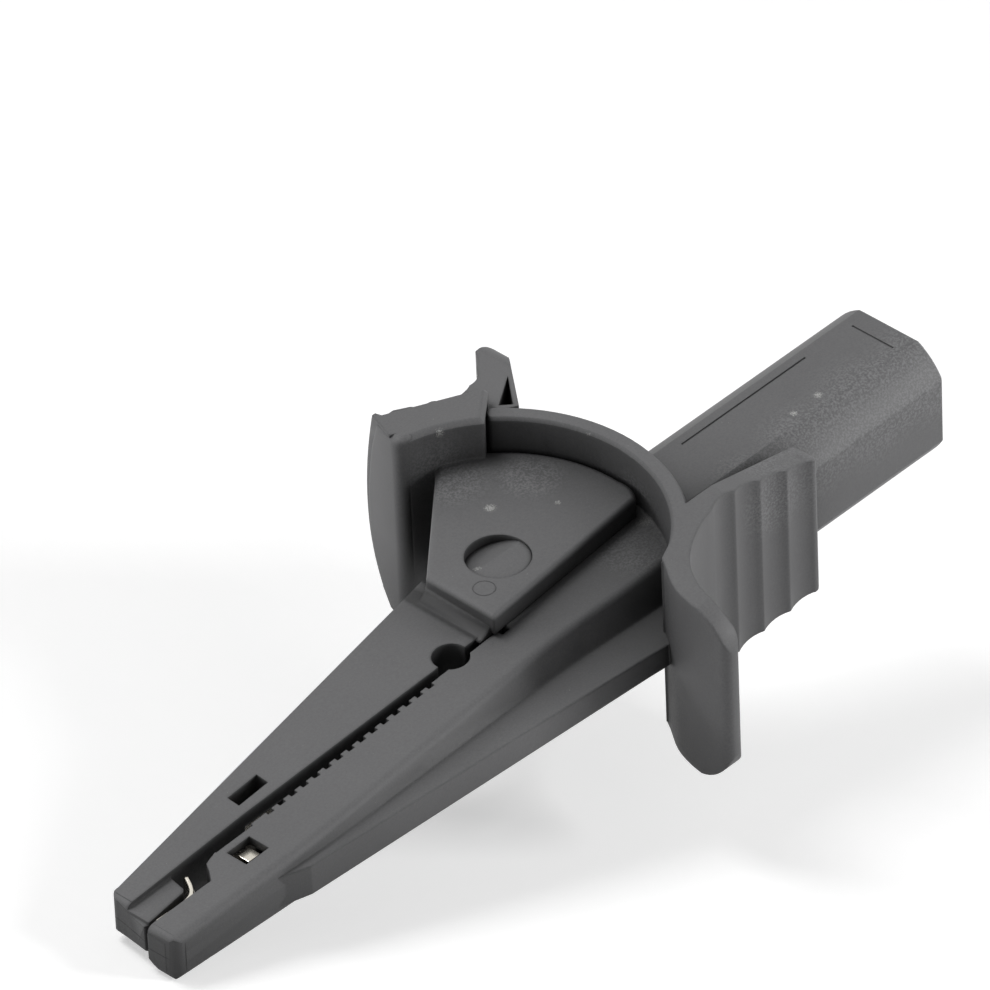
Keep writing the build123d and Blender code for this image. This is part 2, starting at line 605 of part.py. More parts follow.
# Socket contact, turned brass with a nickel finish
with BuildPart() as socket_contact:
    with BuildSketch(Plane.YZ):
        Circle(contact_radius)
        Circle(bore_radius, mode=Mode.SUBTRACT)
    extrude(amount=-bore_depth)
    with BuildSketch(Plane.YZ.offset(-bore_depth)):
        Circle(contact_radius)
    extrude(amount=-(contact_length - bore_depth))
    with BuildSketch(Plane.YZ.offset(-contact_length)):
        Circle(tail_radius)
    extrude(amount=-tail_length)
    # Lead-in of the bore, and slot in the tail for the strip
    with BuildSketch(Plane.YZ):
        Circle(bore_radius + 0.3)
    extrude(amount=-0.3, taper=45, mode=Mode.SUBTRACT)
    with BuildSketch(Plane.XY.offset(-3)):
        with Locations((-contact_length - tail_length + 1.5, 0)):
            Rectangle(3.0, strip_thickness)
    extrude(amount=6, mode=Mode.SUBTRACT)

socket_contact.part.label = "socket_contact"
export_step(socket_contact.part, "parts/socket_contact.step")


# Contact strip from the socket's tail to the insert in the fixed jaw
with BuildPart() as contact_strip:
    with BuildSketch(level(-strip_half_height)):
        with BuildLine():
            Polyline((-contact_length - tail_length + 2.6 - pivot_x, -pivot_y), (9.6, -pivot_y),
                     (6.0, strip_y), (insert_back, strip_y))
        trace(line_width=strip_thickness)
    extrude(amount=2 * strip_half_height)

contact_strip.part.label = "contact_strip"
export_step(contact_strip.part, "parts/contact_strip.step")


# Toothed contact insert in the fixed jaw
with BuildPart() as jaw_insert:
    with BuildSketch(level(-plate_half)):
        Polygon((insert_front, insert_bottom), (insert_back, insert_bottom), (insert_back, -5.5),
                (insert_front, -5.5), align=None)
        for step in range(7):
            with Locations((insert_front + 0.4 + 0.7 * step, -5.5)):
                Rectangle(0.35, 0.5)
    extrude(amount=2 * plate_half)
    with BuildSketch(level(-insert_half)):
        with Locations((insert_front + insert_length / 2, insert_bottom + 0.75)):
            Rectangle(block_length, block_width)
    extrude(amount=2 * insert_half)

jaw_insert.part.label = "jaw_insert"
export_step(jaw_insert.part, "parts/jaw_insert.step")


# Bent contact leaf on the step at the tip of the fixed jaw
with BuildPart() as tip_leaf:
    with BuildSketch(level(-leaf_half)):
        with BuildLine():
            leaf_y = seam(-jaw_reach) - tip_setback + leaf_thickness / 2
            Polyline((-46.2, leaf_y), (-42.5, leaf_y), (-41.8, -6.9), (-41.1, -5.6), (-40.85, -5.1))
        trace(line_width=leaf_thickness)
    extrude(amount=2 * leaf_half)

tip_leaf.part.label = "tip_leaf"
export_step(tip_leaf.part, "parts/tip_leaf.step")


# Toothed insert in the lever jaw
with BuildPart() as lever_insert:
    with BuildSketch(level(-strip_half_height)):
        Polygon((lever_insert_x, -3.7), (lever_insert_back, -3.7), (lever_insert_back, -2.32),
                (lever_insert_x, -2.32), align=None)
    extrude(amount=2 * strip_half_height)

lever_insert.part.label = "lever_insert"
export_step(lever_insert.part, "parts/lever_insert.step")


# Torsion spring round the hinge, one leg on the body and one in the lever jaw
with BuildPart() as torsion_spring:
    turn_angle = 360 * coil_turns + leg_angle
    coil_pitch = 2 * spring_leg_z / turn_angle
    rail = []
    for step in range(leg_steps, 0, -1):
        rail.append((pivot_x + leg_length * step / leg_steps, pivot_y - coil_radius, -spring_leg_z))
    for step in range(coil_turns * 12 + 1):
        swing = turn_angle * step / (coil_turns * 12)
        x, y = polar(coil_radius, -90 - swing)
        rail.append((pivot_x + x, pivot_y + y, coil_pitch * swing - spring_leg_z))
    for step in range(1, leg_steps + 1):
        x = leg_start[0] - leg_length * cos(radians(leg_angle)) * step / leg_steps
        rail.append((pivot_x + x, pivot_y + leg_at(x), spring_leg_z))
    with BuildLine() as wire_path:
        Spline(*rail)
    with BuildSketch(Plane(origin=wire_path.line @ 0, z_dir=wire_path.line % 0)):
        RegularPolygon(wire_radius, 8)
    sweep()

torsion_spring.part.label = "torsion_spring"
export_step(torsion_spring.part, "parts/torsion_spring.step")
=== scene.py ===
"""Insulated test clip: materials, small pieces, floor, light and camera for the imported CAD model."""
from __future__ import annotations

import logging
import math
from dataclasses import dataclass
from enum import Enum

import bpy
import numpy as np
from mathutils import Matrix, Vector

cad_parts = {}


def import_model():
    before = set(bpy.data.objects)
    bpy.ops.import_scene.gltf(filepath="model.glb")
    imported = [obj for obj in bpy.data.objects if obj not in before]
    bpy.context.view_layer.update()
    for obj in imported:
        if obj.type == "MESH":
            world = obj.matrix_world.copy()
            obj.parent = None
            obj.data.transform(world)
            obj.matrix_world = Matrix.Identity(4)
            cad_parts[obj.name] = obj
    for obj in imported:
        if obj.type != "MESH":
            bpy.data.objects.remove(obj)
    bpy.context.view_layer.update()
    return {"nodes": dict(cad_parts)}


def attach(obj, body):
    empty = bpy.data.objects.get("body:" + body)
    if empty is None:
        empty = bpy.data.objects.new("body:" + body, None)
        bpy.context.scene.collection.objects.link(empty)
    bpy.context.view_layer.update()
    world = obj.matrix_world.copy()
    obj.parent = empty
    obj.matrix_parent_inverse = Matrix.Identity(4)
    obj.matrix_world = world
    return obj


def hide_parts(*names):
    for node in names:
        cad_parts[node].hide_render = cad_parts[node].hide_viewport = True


LOG = logging.getLogger("test_clip")

MM = 0.001
PIVOT = np.array((-39.8, 4.0, 0.0))    # hinge centre in the clip's frame, in millimetres
MIDDLE = Vector((-42.0, 0.0, 0.0))     # what the lamps and the camera look at, in millimetres
IMAGE_WIDTH = 990                      # pixels
WHITE = (1.0, 1.0, 1.0, 1.0)
LUMP_WIDTH = 0.8                       # of a noise at scale 1, in the units of its coordinates


class Rides(Enum):
    """The two bodies of the clip that a piece may ride on."""

    BODY = "body"
    LEVER = "lever"


def linear(hex_colour: str) -> tuple[float, float, float, float]:
    """Turn an sRGB hex colour into linear values.

    Args:
        hex_colour: Six hex digits, with or without a leading hash.

    Returns:
        Linear red, green and blue, and an alpha of 1.
    """
    text = hex_colour.lstrip("#")
    parts = [int(text[i:i + 2], 16) / 255 for i in (0, 2, 4)]
    red, green, blue = (c / 12.92 if c <= 0.04045 else ((c + 0.055) / 1.055) ** 2.4 for c in parts)
    return red, green, blue, 1.0


def add_node(tree: bpy.types.NodeTree, kind: str, links: dict[str | int, bpy.types.NodeSocket] | None = None,
             settings: dict[str, object] | None = None, numbers: dict[int, object] | None = None,
             **values: object) -> bpy.types.Node:
    """Add one node with its settings, values and incoming links.

    Args:
        tree: The material's or world's node tree.
        kind: The node's type name.
        links: Input name or index to the socket that feeds it.
        settings: Node property name to value.
        numbers: Input index to its value, for inputs that share a name.
        **values: Input name, with underscores for spaces, to its value.

    Returns:
        The new node.
    """
    node = tree.nodes.new(kind)
    for name, value in (settings or {}).items():
        setattr(node, name, value)
    for index, value in (numbers or {}).items():
        node.inputs[index].default_value = value
    for name, value in values.items():
        node.inputs[name.replace("_", " ")].default_value = value
    for name, socket in (links or {}).items():
        tree.links.new(socket, node.inputs[name])
    return node


def in_sight(tree: bpy.types.NodeTree) -> bpy.types.NodeSocket:
    """Mask the rays that show a thing plainly: the camera's, and those sent on by mirrors or clear pieces.

    Args:
        tree: The material's or world's node tree.

    Returns:
        1 for such rays and 0 for the rest.
    """
    rays = add_node(tree, "ShaderNodeLightPath").outputs
    seen = add_node(tree, "ShaderNodeMath", {0: rays["Is Camera Ray"], 1: rays["Is Glossy Ray"]},
                    {"operation": "ADD"})
    return add_node(tree, "ShaderNodeMath", {0: seen.outputs[0], 1: rays["Is Transmission Ray"]},
                    {"operation": "ADD", "use_clamp": True}).outputs[0]


class Finish:
    """A surface finish that builds its own node material."""

    name: str = "finish"

    def shade(self, tree: bpy.types.NodeTree, place: bpy.types.NodeSocket) -> bpy.types.Node:
        """Add the finish's nodes.

        Args:
            tree: The material's node tree, which holds only its coordinates so far.
            place: Object coordinates in millimetres.

        Returns:
            The shader node to show.
        """
        raise NotImplementedError

    def material(self) -> bpy.types.Material:
        """Build the material on first use.

        Returns:
            The material, shared by every piece with this finish.
        """
        made = bpy.data.materials.get(self.name)
        if made is not None:
            return made
        made = bpy.data.materials.new(self.name)
        made.use_nodes = True
        tree = made.node_tree
        tree.nodes.clear()
        coordinates = add_node(tree, "ShaderNodeTexCoord")
        place = add_node(tree, "ShaderNodeMapping", {"Vector": coordinates.outputs["Object"]},
                         Scale=(1 / MM, 1 / MM, 1 / MM))
        shader = self.shade(tree, place.outputs["Vector"])
        add_node(tree, "ShaderNodeOutputMaterial", {"Surface": shader.outputs[0]})
        return made

    def dress(self, obj: bpy.types.Object) -> None:
        """Give the object this finish as its only material."""
        obj.data.materials.clear()
        obj.data.materials.append(self.material())


@dataclass(frozen=True)
class Spot:
    """A round place on a moulding, in plan millimetres from the hinge, with its height and its radius."""

    x: float
    y: float
    z: float
    radius: float

    def mask(self, tree: bpy.types.NodeTree, place: bpy.types.NodeSocket,
             edge: float = 0.0) -> bpy.types.NodeSocket:
        """Fade from 1 at the spot's middle, or at the share edge of its radius, to 0 at its radius.

        Args:
            tree: The material's node tree.
            place: Object coordinates in millimetres.
            edge: The share of the radius up to which the mask stays 1.

        Returns:
            The mask.
        """
        away = add_node(tree, "ShaderNodeVectorMath", {0: place}, {"operation": "DISTANCE"},
                        {1: tuple(float(c) for c in PIVOT + np.array((self.x, self.y, self.z)))})
        fade = add_node(tree, "ShaderNodeMapRange", {"Value": away.outputs["Value"]},
                        {"interpolation_type": "SMOOTHSTEP"},
                        From_Min=edge * self.radius, From_Max=self.radius, To_Min=1.0, To_Max=0.0)
        return fade.outputs[0]


@dataclass(frozen=True)
class MouldedPolyamide(Finish):
    """Black-grey polyamide, injection moulded in a spark-eroded tool: matt, with a fine even grain.

    The tool's spark texture gives the eye a soft, dry sheen with a grain of 0.15 mm. Corners, slits and the
    cheek's foot get painted shade, nearly black, and rubbed places are speckled white.

    A noise's per_mm is its scale on coordinates in millimetres, and its level is the part of it that shows.
    A fleck is the grain's darkest and palest share of the tone, and the other shares say how much of the
    tone a mark covers. A dimple is dimple_depth times as deep as the grain.
    """

    name: str = "Polyamide moulded dark grey"
    colour: str = "#5f5f60"
    pale_colour: str = "#69696a"
    # Near black used for painted shade in recesses and at the cheek's foot, and for the real parting line
    shade_and_parting_colour: str = "#0b0b0c"
    scuff_colour: str = "#c9c9c6"
    grain_mm: float = 0.15
    grain_depth_mm: float = 0.02
    painted_shade_reach_mm: float = 13.0
    painted_shade_power: float = 1.9
    edge_radius_mm: float = 0.36
    parting_half_mm: float = 0.07
    roughness: float = 0.55
    roughness_drift: tuple[float, float] = (-0.05, 0.1)
    grain_level: tuple[float, float] = (0.3, 0.7)
    grain_fleck: tuple[float, float] = (0.9, 1.12)
    coarse_level: tuple[float, float] = (0.4, 0.64)
    coarse_fleck: tuple[float, float] = (0.88, 1.65)
    drift_per_mm: float = 0.11
    dust_per_mm: float = 3.4
    dust_level: tuple[float, float] = (0.72, 0.77)
    dust_share: float = 0.5
    scuff_per_mm: float = 8.0
    scuff_level: tuple[float, float] = (0.4, 0.52)
    scuff_share: float = 0.7
    shade_and_parting_share: float = 0.72
    dimple_depth: float = 6.0
    scuffs: tuple[Spot, ...] = ()
    coarse: tuple[Spot, ...] = ()
    dimples: tuple[Spot, ...] = ()
    painted_shade_feet: tuple[Spot, ...] = ()
    parting: tuple[Spot, ...] = ()

    def total(self, tree: bpy.types.NodeTree, masks: list[bpy.types.NodeSocket]) -> bpy.types.NodeSocket:
        """Join several masks into their sum, held to 1.

        Args:
            tree: The material's node tree.
            masks: One mask or more.

        Returns:
            The joined mask.
        """
        joined = masks[0]
        for mask in masks[1:]:
            joined = add_node(tree, "ShaderNodeMath", {0: joined, 1: mask},
                              {"operation": "ADD", "use_clamp": True}).outputs[0]
        return joined

    def shade(self, tree: bpy.types.NodeTree, place: bpy.types.NodeSocket) -> bpy.types.Node:
        """Add moulded grain, slow colour drift, painted shade in recesses and at feet, a dark parting line,
        dust and scuffs. See Finish.shade.
        """
        grain = add_node(tree, "ShaderNodeTexNoise", {"Vector": place}, Scale=LUMP_WIDTH / self.grain_mm,
                         Detail=2.0, Roughness=0.6)
        drift = add_node(tree, "ShaderNodeTexNoise", {"Vector": place}, Scale=self.drift_per_mm, Detail=3.0)
        dust = add_node(tree, "ShaderNodeTexNoise", {"Vector": place}, Scale=self.dust_per_mm,
                        Detail=3.0, Roughness=0.8)
        rub = add_node(tree, "ShaderNodeTexNoise", {"Vector": place}, Scale=self.scuff_per_mm,
                       Detail=4.0, Roughness=0.8)
        # Even tone: a slow drift and the grain's own light and dark
        tone = add_node(tree, "ShaderNodeMix", {"Factor": drift.outputs["Fac"]}, {"data_type": "RGBA"},
                        {6: linear(self.colour), 7: linear(self.pale_colour)})
        low, high = self.grain_level
        fleck = add_node(tree, "ShaderNodeMapRange", {"Value": grain.outputs["Fac"]},
                         From_Min=low, From_Max=high, To_Min=self.grain_fleck[0], To_Max=self.grain_fleck[1])
        if self.coarse:
            rough = self.total(tree, [spot.mask(tree, place, edge=0.4) for spot in self.coarse])
            rough_fleck = add_node(tree, "ShaderNodeMapRange", {"Value": grain.outputs["Fac"]},
                                   From_Min=self.coarse_level[0], From_Max=self.coarse_level[1],
                                   To_Min=self.coarse_fleck[0], To_Max=self.coarse_fleck[1])
            fleck = add_node(tree, "ShaderNodeMix",
                             {0: rough, 2: fleck.outputs[0], 3: rough_fleck.outputs[0]})
        grained = add_node(tree, "ShaderNodeVectorMath",
                           {0: tone.outputs["Result"], 3: fleck.outputs[0]}, {"operation": "SCALE"})
        # Dust specks lie anywhere, scuffs only where the clip rubs
        speck = add_node(tree, "ShaderNodeMapRange", {"Value": dust.outputs["Fac"]},
                         From_Min=self.dust_level[0], From_Max=self.dust_level[1], To_Max=self.dust_share)
        marks = speck.outputs[0]
        if self.scuffs:
            worn = self.total(tree, [spot.mask(tree, place) for spot in self.scuffs])
            level = add_node(tree, "ShaderNodeMath", {0: rub.outputs["Fac"], 1: worn},
                             {"operation": "MULTIPLY"})
            bare = add_node(tree, "ShaderNodeMapRange", {"Value": level.outputs[0]},
                            From_Min=self.scuff_level[0], From_Max=self.scuff_level[1],
                            To_Max=self.scuff_share)
            marks = self.total(tree, [marks, bare.outputs[0]])
        marked = add_node(tree, "ShaderNodeMix", {0: marks, 6: grained.outputs[0]}, {"data_type": "RGBA"},
                          {7: linear(self.scuff_colour)})
        # Painted shade: inside corners and slits are darkened towards near black the less open space they see
        open_side = add_node(tree, "ShaderNodeAmbientOcclusion", None, {"samples": 8},
                             Distance=self.painted_shade_reach_mm * MM)
        depth = add_node(tree, "ShaderNodeMath", {0: open_side.outputs["AO"]}, {"operation": "POWER"},
                         {1: self.painted_shade_power})
        colour = add_node(tree, "ShaderNodeMix", {0: depth.outputs[0], 7: marked.outputs["Result"]},
                          {"data_type": "RGBA"}, {6: linear(self.shade_and_parting_colour)})
        # Painted shade at the cheek's foot, and the real dark parting line, are mixed towards the same near
        # black
        dark = [spot.mask(tree, place, edge=0.4) for spot in self.painted_shade_feet]
        if self.parting:
            axes = add_node(tree, "ShaderNodeSeparateXYZ", {0: place})
            middle = add_node(tree, "ShaderNodeMath", {0: axes.outputs["Z"]}, {"operation": "COMPARE"},
                              {1: 0.0, 2: self.parting_half_mm})
            near = self.total(tree, [spot.mask(tree, place, edge=0.8) for spot in self.parting])
            dark.append(add_node(tree, "ShaderNodeMath", {0: middle.outputs[0], 1: near},
                                 {"operation": "MULTIPLY"}).outputs[0])
        if dark:
            shaded = add_node(tree, "ShaderNodeMath", {0: self.total(tree, dark)}, {"operation": "MULTIPLY"},
                              {1: self.shade_and_parting_share})
            colour = add_node(tree, "ShaderNodeMix", {0: shaded.outputs[0], 6: colour.outputs["Result"]},
                              {"data_type": "RGBA"}, {7: linear(self.shade_and_parting_colour)})
        gloss = add_node(tree, "ShaderNodeMapRange", {"Value": grain.outputs["Fac"]},
                         From_Min=low, From_Max=high, To_Min=self.roughness + self.roughness_drift[0],
                         To_Max=self.roughness + self.roughness_drift[1])
        height = grain.outputs["Fac"]
        if self.dimples:
            dish = self.total(tree, [spot.mask(tree, place, edge=0.55) for spot in self.dimples])
            height = add_node(tree, "ShaderNodeMath", {0: dish, 2: height}, {"operation": "MULTIPLY_ADD"},
                              {1: -self.dimple_depth}).outputs[0]
        edges = add_node(tree, "ShaderNodeBevel", None, {"samples": 4}, Radius=self.edge_radius_mm * MM)
        bump = add_node(tree, "ShaderNodeBump", {"Height": height, "Normal": edges.outputs[0]}, Strength=0.5,
                        Distance=self.grain_depth_mm * MM)
        return add_node(tree, "ShaderNodeBsdfPrincipled",
                        {"Base Color": colour.outputs["Result"], "Roughness": gloss.outputs[0],
                         "Normal": bump.outputs["Normal"]}, IOR=1.53, Specular_IOR_Level=0.35)


@dataclass(frozen=True)
class NickelPlate(Finish):
    """Brass strip or turned brass with bright nickel plate: pale warm metal with faint drawing lines.

    The lines are drawn as many times coarser than line_mm as coarser says, so that they show.
    """

    name: str = "Nickel plate on brass"
    colour: str = "#d6d1c6"
    roughness: float = 0.22
    roughness_drift: tuple[float, float] = (-0.06, 0.12)
    cloud_per_mm: float = 0.5
    line_mm: float = 0.05
    line_depth_mm: float = 0.02
    coarser: float = 4.0

    def shade(self, tree: bpy.types.NodeTree, place: bpy.types.NodeSocket) -> bpy.types.Node:
        """Add faint lines along X from drawing the strip. See Finish.shade."""
        stretch = add_node(tree, "ShaderNodeMapping", {"Vector": place}, Scale=(0.15, 1.0, 1.0))
        lines = add_node(tree, "ShaderNodeTexNoise", {"Vector": stretch.outputs["Vector"]},
                         Scale=LUMP_WIDTH / (self.coarser * self.line_mm), Detail=3.0)
        cloud = add_node(tree, "ShaderNodeTexNoise", {"Vector": place}, Scale=self.cloud_per_mm, Detail=2.0)
        gloss = add_node(tree, "ShaderNodeMapRange", {"Value": cloud.outputs["Fac"]},
                         To_Min=self.roughness + self.roughness_drift[0],
                         To_Max=self.roughness + self.roughness_drift[1])
        bump = add_node(tree, "ShaderNodeBump", {"Height": lines.outputs["Fac"]}, Strength=0.2,
                        Distance=self.line_depth_mm * MM)
        return add_node(tree, "ShaderNodeBsdfPrincipled",
                        {"Roughness": gloss.outputs[0], "Normal": bump.outputs["Normal"]},
                        Base_Color=linear(self.colour), Metallic=1.0)


@dataclass(frozen=True)
class ContactBlock(NickelPlate):
    """The contact insert: bright nickel, with painted shade that darkens it below the block's outer faces,
    deep in its window.
    """

    name: str = "Nickel plate shaded below"
    painted_shade_colour: str = "#24221f"
    bright_above_mm: float = 1.45
    fade_mm: float = 0.5

    def shade(self, tree: bpy.types.NodeTree, place: bpy.types.NodeSocket) -> bpy.types.Node:
        """Add painted shade below the block's outer faces to the plate's own nodes. See Finish.shade."""
        plate = super().shade(tree, place)
        axes = add_node(tree, "ShaderNodeSeparateXYZ", {0: place})
        level = add_node(tree, "ShaderNodeMath", {0: axes.outputs["Z"]}, {"operation": "ABSOLUTE"})
        bright = add_node(tree, "ShaderNodeMapRange", {"Value": level.outputs[0]},
                          From_Min=self.bright_above_mm - self.fade_mm, From_Max=self.bright_above_mm)
        # Painted shade: the nickel turns dark below the block's outer faces
        shaded_below = add_node(tree, "ShaderNodeMix", {0: bright.outputs[0]}, {"data_type": "RGBA"},
                        {6: linear(self.painted_shade_colour), 7: linear(self.colour)})
        tree.links.new(shaded_below.outputs["Result"], plate.inputs["Base Color"])
        return plate


@dataclass(frozen=True)
class SpringWire(Finish):
    """Drawn stainless spring wire: grey metal with fine marks round each turn."""

    name: str = "Stainless wire drawn"
    colour: str = "#a9a8a5"
    roughness: float = 0.34
    roughness_drift: tuple[float, float] = (-0.08, 0.1)
    marks_per_mm: float = 6.0
    mark_depth_mm: float = 0.01

    def shade(self, tree: bpy.types.NodeTree, place: bpy.types.NodeSocket) -> bpy.types.Node:
        """Add fine drawing marks. See Finish.shade."""
        marks = add_node(tree, "ShaderNodeTexNoise", {"Vector": place}, Scale=self.marks_per_mm, Detail=3.0)
        gloss = add_node(tree, "ShaderNodeMapRange", {"Value": marks.outputs["Fac"]},
                         To_Min=self.roughness + self.roughness_drift[0],
                         To_Max=self.roughness + self.roughness_drift[1])
        bump = add_node(tree, "ShaderNodeBump", {"Height": marks.outputs["Fac"]}, Strength=0.15,
                        Distance=self.mark_depth_mm * MM)
        return add_node(tree, "ShaderNodeBsdfPrincipled",
                        {"Roughness": gloss.outputs[0], "Normal": bump.outputs["Normal"]},
                        Base_Color=linear(self.colour), Metallic=1.0)


@dataclass(frozen=True)
class PaperSweep(Finish):
    """Seamless white paper under the clip: white to the camera, darker only where the clip shades it."""

    name: str = "Paper seamless white"
    colour: str = "#dcdcdc"
    pale_colour: str = "#e2e2e2"
    fleck_per_mm: float = 0.8
    glow: float = 0.5

    def shade(self, tree: bpy.types.NodeTree, place: bpy.types.NodeSocket) -> bpy.types.Node:
        """Add white paper with a glow for the camera and for mirrors, clear from below. See Finish.shade."""
        fleck = add_node(tree, "ShaderNodeTexNoise", {"Vector": place}, Scale=self.fleck_per_mm, Detail=2.0)
        tone = add_node(tree, "ShaderNodeMix", {"Factor": fleck.outputs["Fac"]}, {"data_type": "RGBA"},
                        {6: linear(self.colour), 7: linear(self.pale_colour)})
        paper = add_node(tree, "ShaderNodeBsdfDiffuse", {"Color": tone.outputs["Result"]})
        level = add_node(tree, "ShaderNodeMath", {0: in_sight(tree)}, {"operation": "MULTIPLY"},
                         {1: self.glow})
        glow = add_node(tree, "ShaderNodeEmission", {"Strength": level.outputs[0]}, Color=WHITE)
        lit = add_node(tree, "ShaderNodeAddShader", {0: paper.outputs[0], 1: glow.outputs[0]})
        clear = add_node(tree, "ShaderNodeBsdfTransparent")
        side = add_node(tree, "ShaderNodeNewGeometry")
        return add_node(tree, "ShaderNodeMixShader",
                        {0: side.outputs["Backfacing"], 1: lit.outputs[0], 2: clear.outputs[0]})


BODY_PLASTIC = MouldedPolyamide(
    name="Polyamide moulded body",
    scuffs=(Spot(12.4, -4.1, 3.6, 2.4), Spot(-2.0, 0.4, 5.2, 1.1), Spot(31.1, -5.8, 5.75, 1.3),
            Spot(28.1, -5.9, 5.75, 1.1), Spot(13.2, 2.6, 8.2, 1.0)),
    coarse=(Spot(41.0, -9.4, 4.6, 6.5), Spot(34.0, -9.4, 4.6, 6.5), Spot(27.0, -9.4, 4.6, 6.0),
            Spot(20.0, -9.2, 4.6, 4.5), Spot(10.0, -5.6, 3.8, 5.0), Spot(13.0, -2.5, 3.6, 4.0)),
    parting=(Spot(-46.5, -6.0, 0.0, 4.0),))
LEVER_PLASTIC = MouldedPolyamide(
    name="Polyamide moulded lever",
    scuffs=(Spot(4.0, 4.6, 5.35, 1.6), Spot(5.4, 11.2, 8.6, 1.3), Spot(8.0, 1.0, 5.35, 0.9)),
    coarse=(Spot(4.5, 9.5, 5.35, 4.0), Spot(9.0, 5.0, 5.35, 3.5)),
    dimples=(Spot(-34.1, -1.75, 2.05, 0.55),),
    # Painted shade along the foot of the cheek's wall
    painted_shade_feet=tuple(Spot(-6.2, float(y), 3.5, 1.2) for y in np.arange(-4.4, 3.7, 0.9)),
    parting=(Spot(-46.5, -3.0, 0.0, 4.0),))
NICKEL = NickelPlate()
CONTACT = ContactBlock()
WIRE = SpringWire()


def mesh_object(name: str, points: np.ndarray, faces: list[list[int]]) -> bpy.types.Object:
    """Make an object from arrays of points and faces.

    Args:
        name: The object's name.
        points: Points in metres, one row each.
        faces: Point numbers of each face, seen anticlockwise from outside.

    Returns:
        The new object, linked to the scene, with smooth faces.
    """
    mesh = bpy.data.meshes.new(name)
    mesh.from_pydata(points.tolist(), [], faces)
    mesh.update()
    mesh.polygons.foreach_set("use_smooth", np.ones(len(mesh.polygons), dtype=bool))
    obj = bpy.data.objects.new(name, mesh)
    bpy.context.scene.collection.objects.link(obj)
    return obj


def grid_faces(rows: int, around: int, closed: bool = False) -> np.ndarray:
    """Number the corners of every cell between the rings of a grid.

    Args:
        rows: How many rings there are.
        around: Points on each ring, whose last one joins the first.
        closed: Whether the last ring joins the first ring.

    Returns:
        Four point numbers per cell: this ring, the next ring, then the same one step on, backwards.
    """
    row = np.arange(rows if closed else rows - 1)[:, None]
    step = np.arange(around)[None, :]
    here = row * around
    above = (row + 1) % rows * around
    after = (step + 1) % around
    return np.stack((here + step, above + step, above + after, here + after), axis=2).reshape(-1, 4)


def add_piece(piece: bpy.types.Object, finish: Finish, body: Rides) -> None:
    """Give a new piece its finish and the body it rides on.

    Args:
        piece: The new piece.
        finish: What it is made of.
        body: The body that carries it.
    """
    finish.dress(piece)
    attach(piece, body.value)
    LOG.info("%s rides on %s", piece.name, body.value)


def round_bar(name: str, path: np.ndarray, radius: float, sides: int = 16) -> bpy.types.Object:
    """Carry a circle along an open path and close both ends with a low dome.

    Each path point carries a ring: point + radius * (cos a * across + sin a * over), where across is the
    path's direction turned a quarter round Z and over is square to both. The ends are two smaller rings
    and a pole each.

    Args:
        name: The object's name.
        path: Path points in millimetres, one row each.
        radius: The bar's radius in millimetres.
        sides: Points round each ring.

    Returns:
        The bar's object.
    """
    run = np.gradient(path, axis=0)
    run /= np.linalg.norm(run, axis=1, keepdims=True)
    # Shares of the bar's radius: the dome's two rings, how far they stand out, and how far its pole does
    dome = np.array((0.45, 0.8))
    lift = np.array((0.75, 0.45))
    crown = 0.85
    start = path[0] - run[0] * radius * lift[:, None]
    end = path[-1] + run[-1] * radius * lift[::-1, None]
    line = np.vstack((start, path, end))
    heading = np.vstack((run[:1], run[:1], run, run[-1:], run[-1:]))
    size = np.concatenate((dome, np.ones(len(path)), dome[::-1])) * radius
    across = np.cross(heading, (0.0, 0.0, 1.0))
    across /= np.linalg.norm(across, axis=1, keepdims=True)
    over = np.cross(across, heading)
    angle = np.arange(sides) * 2 * math.pi / sides
    ring = np.cos(angle)[None, :, None] * across[:, None, :] + np.sin(angle)[None, :, None] * over[:, None, :]
    rings = line[:, None, :] + size[:, None, None] * ring
    poles = np.vstack((path[0] - run[0] * radius * crown, path[-1] + run[-1] * radius * crown))
    points = np.vstack((rings.reshape(-1, 3), poles)) * MM
    quads = np.roll(grid_faces(len(line), sides), -1, axis=1)
    step = np.arange(sides)
    after = (step + 1) % sides
    last = (len(line) - 1) * sides
    pole = len(line) * sides
    ends = np.vstack((np.stack((step, after, np.full(sides, pole)), axis=1),
                      np.stack((last + after, last + step, np.full(sides, pole + 1)), axis=1)))
    return mesh_object(name, points, quads.tolist() + ends.tolist())


@dataclass(frozen=True)
class EdgeBreak:
    """How far the edges of a node are rounded, and from which angle on."""

    width_mm: float
    sharp_deg: float
    segments: int


MOULDED_EDGE = EdgeBreak(width_mm=0.25, sharp_deg=34.0, segments=3)
METAL_EDGE = EdgeBreak(width_mm=0.05, sharp_deg=40.0, segments=2)


@dataclass
class CadPart:
    """A node of the CAD frame, shown with broken edges and its finish."""

    node: str
    finish: Finish
    edge: EdgeBreak

    def dress(self, nodes: dict[str, bpy.types.Object]) -> None:
        """Merge the node's loose triangles, round its edges and give it its finish.

        Args:
            nodes: The CAD frame's nodes by name.
        """
        obj = nodes[self.node]
        weld = obj.modifiers.new("weld", "WELD")
        weld.merge_threshold = 0.001 * MM
        bevel = obj.modifiers.new("edge break", "BEVEL")
        bevel.width = self.edge.width_mm * MM
        bevel.segments = self.edge.segments
        bevel.limit_method = "ANGLE"
        bevel.angle_limit = math.radians(self.edge.sharp_deg)
        self.finish.dress(obj)
        LOG.info("%s dressed in %s", self.node, self.finish.name)


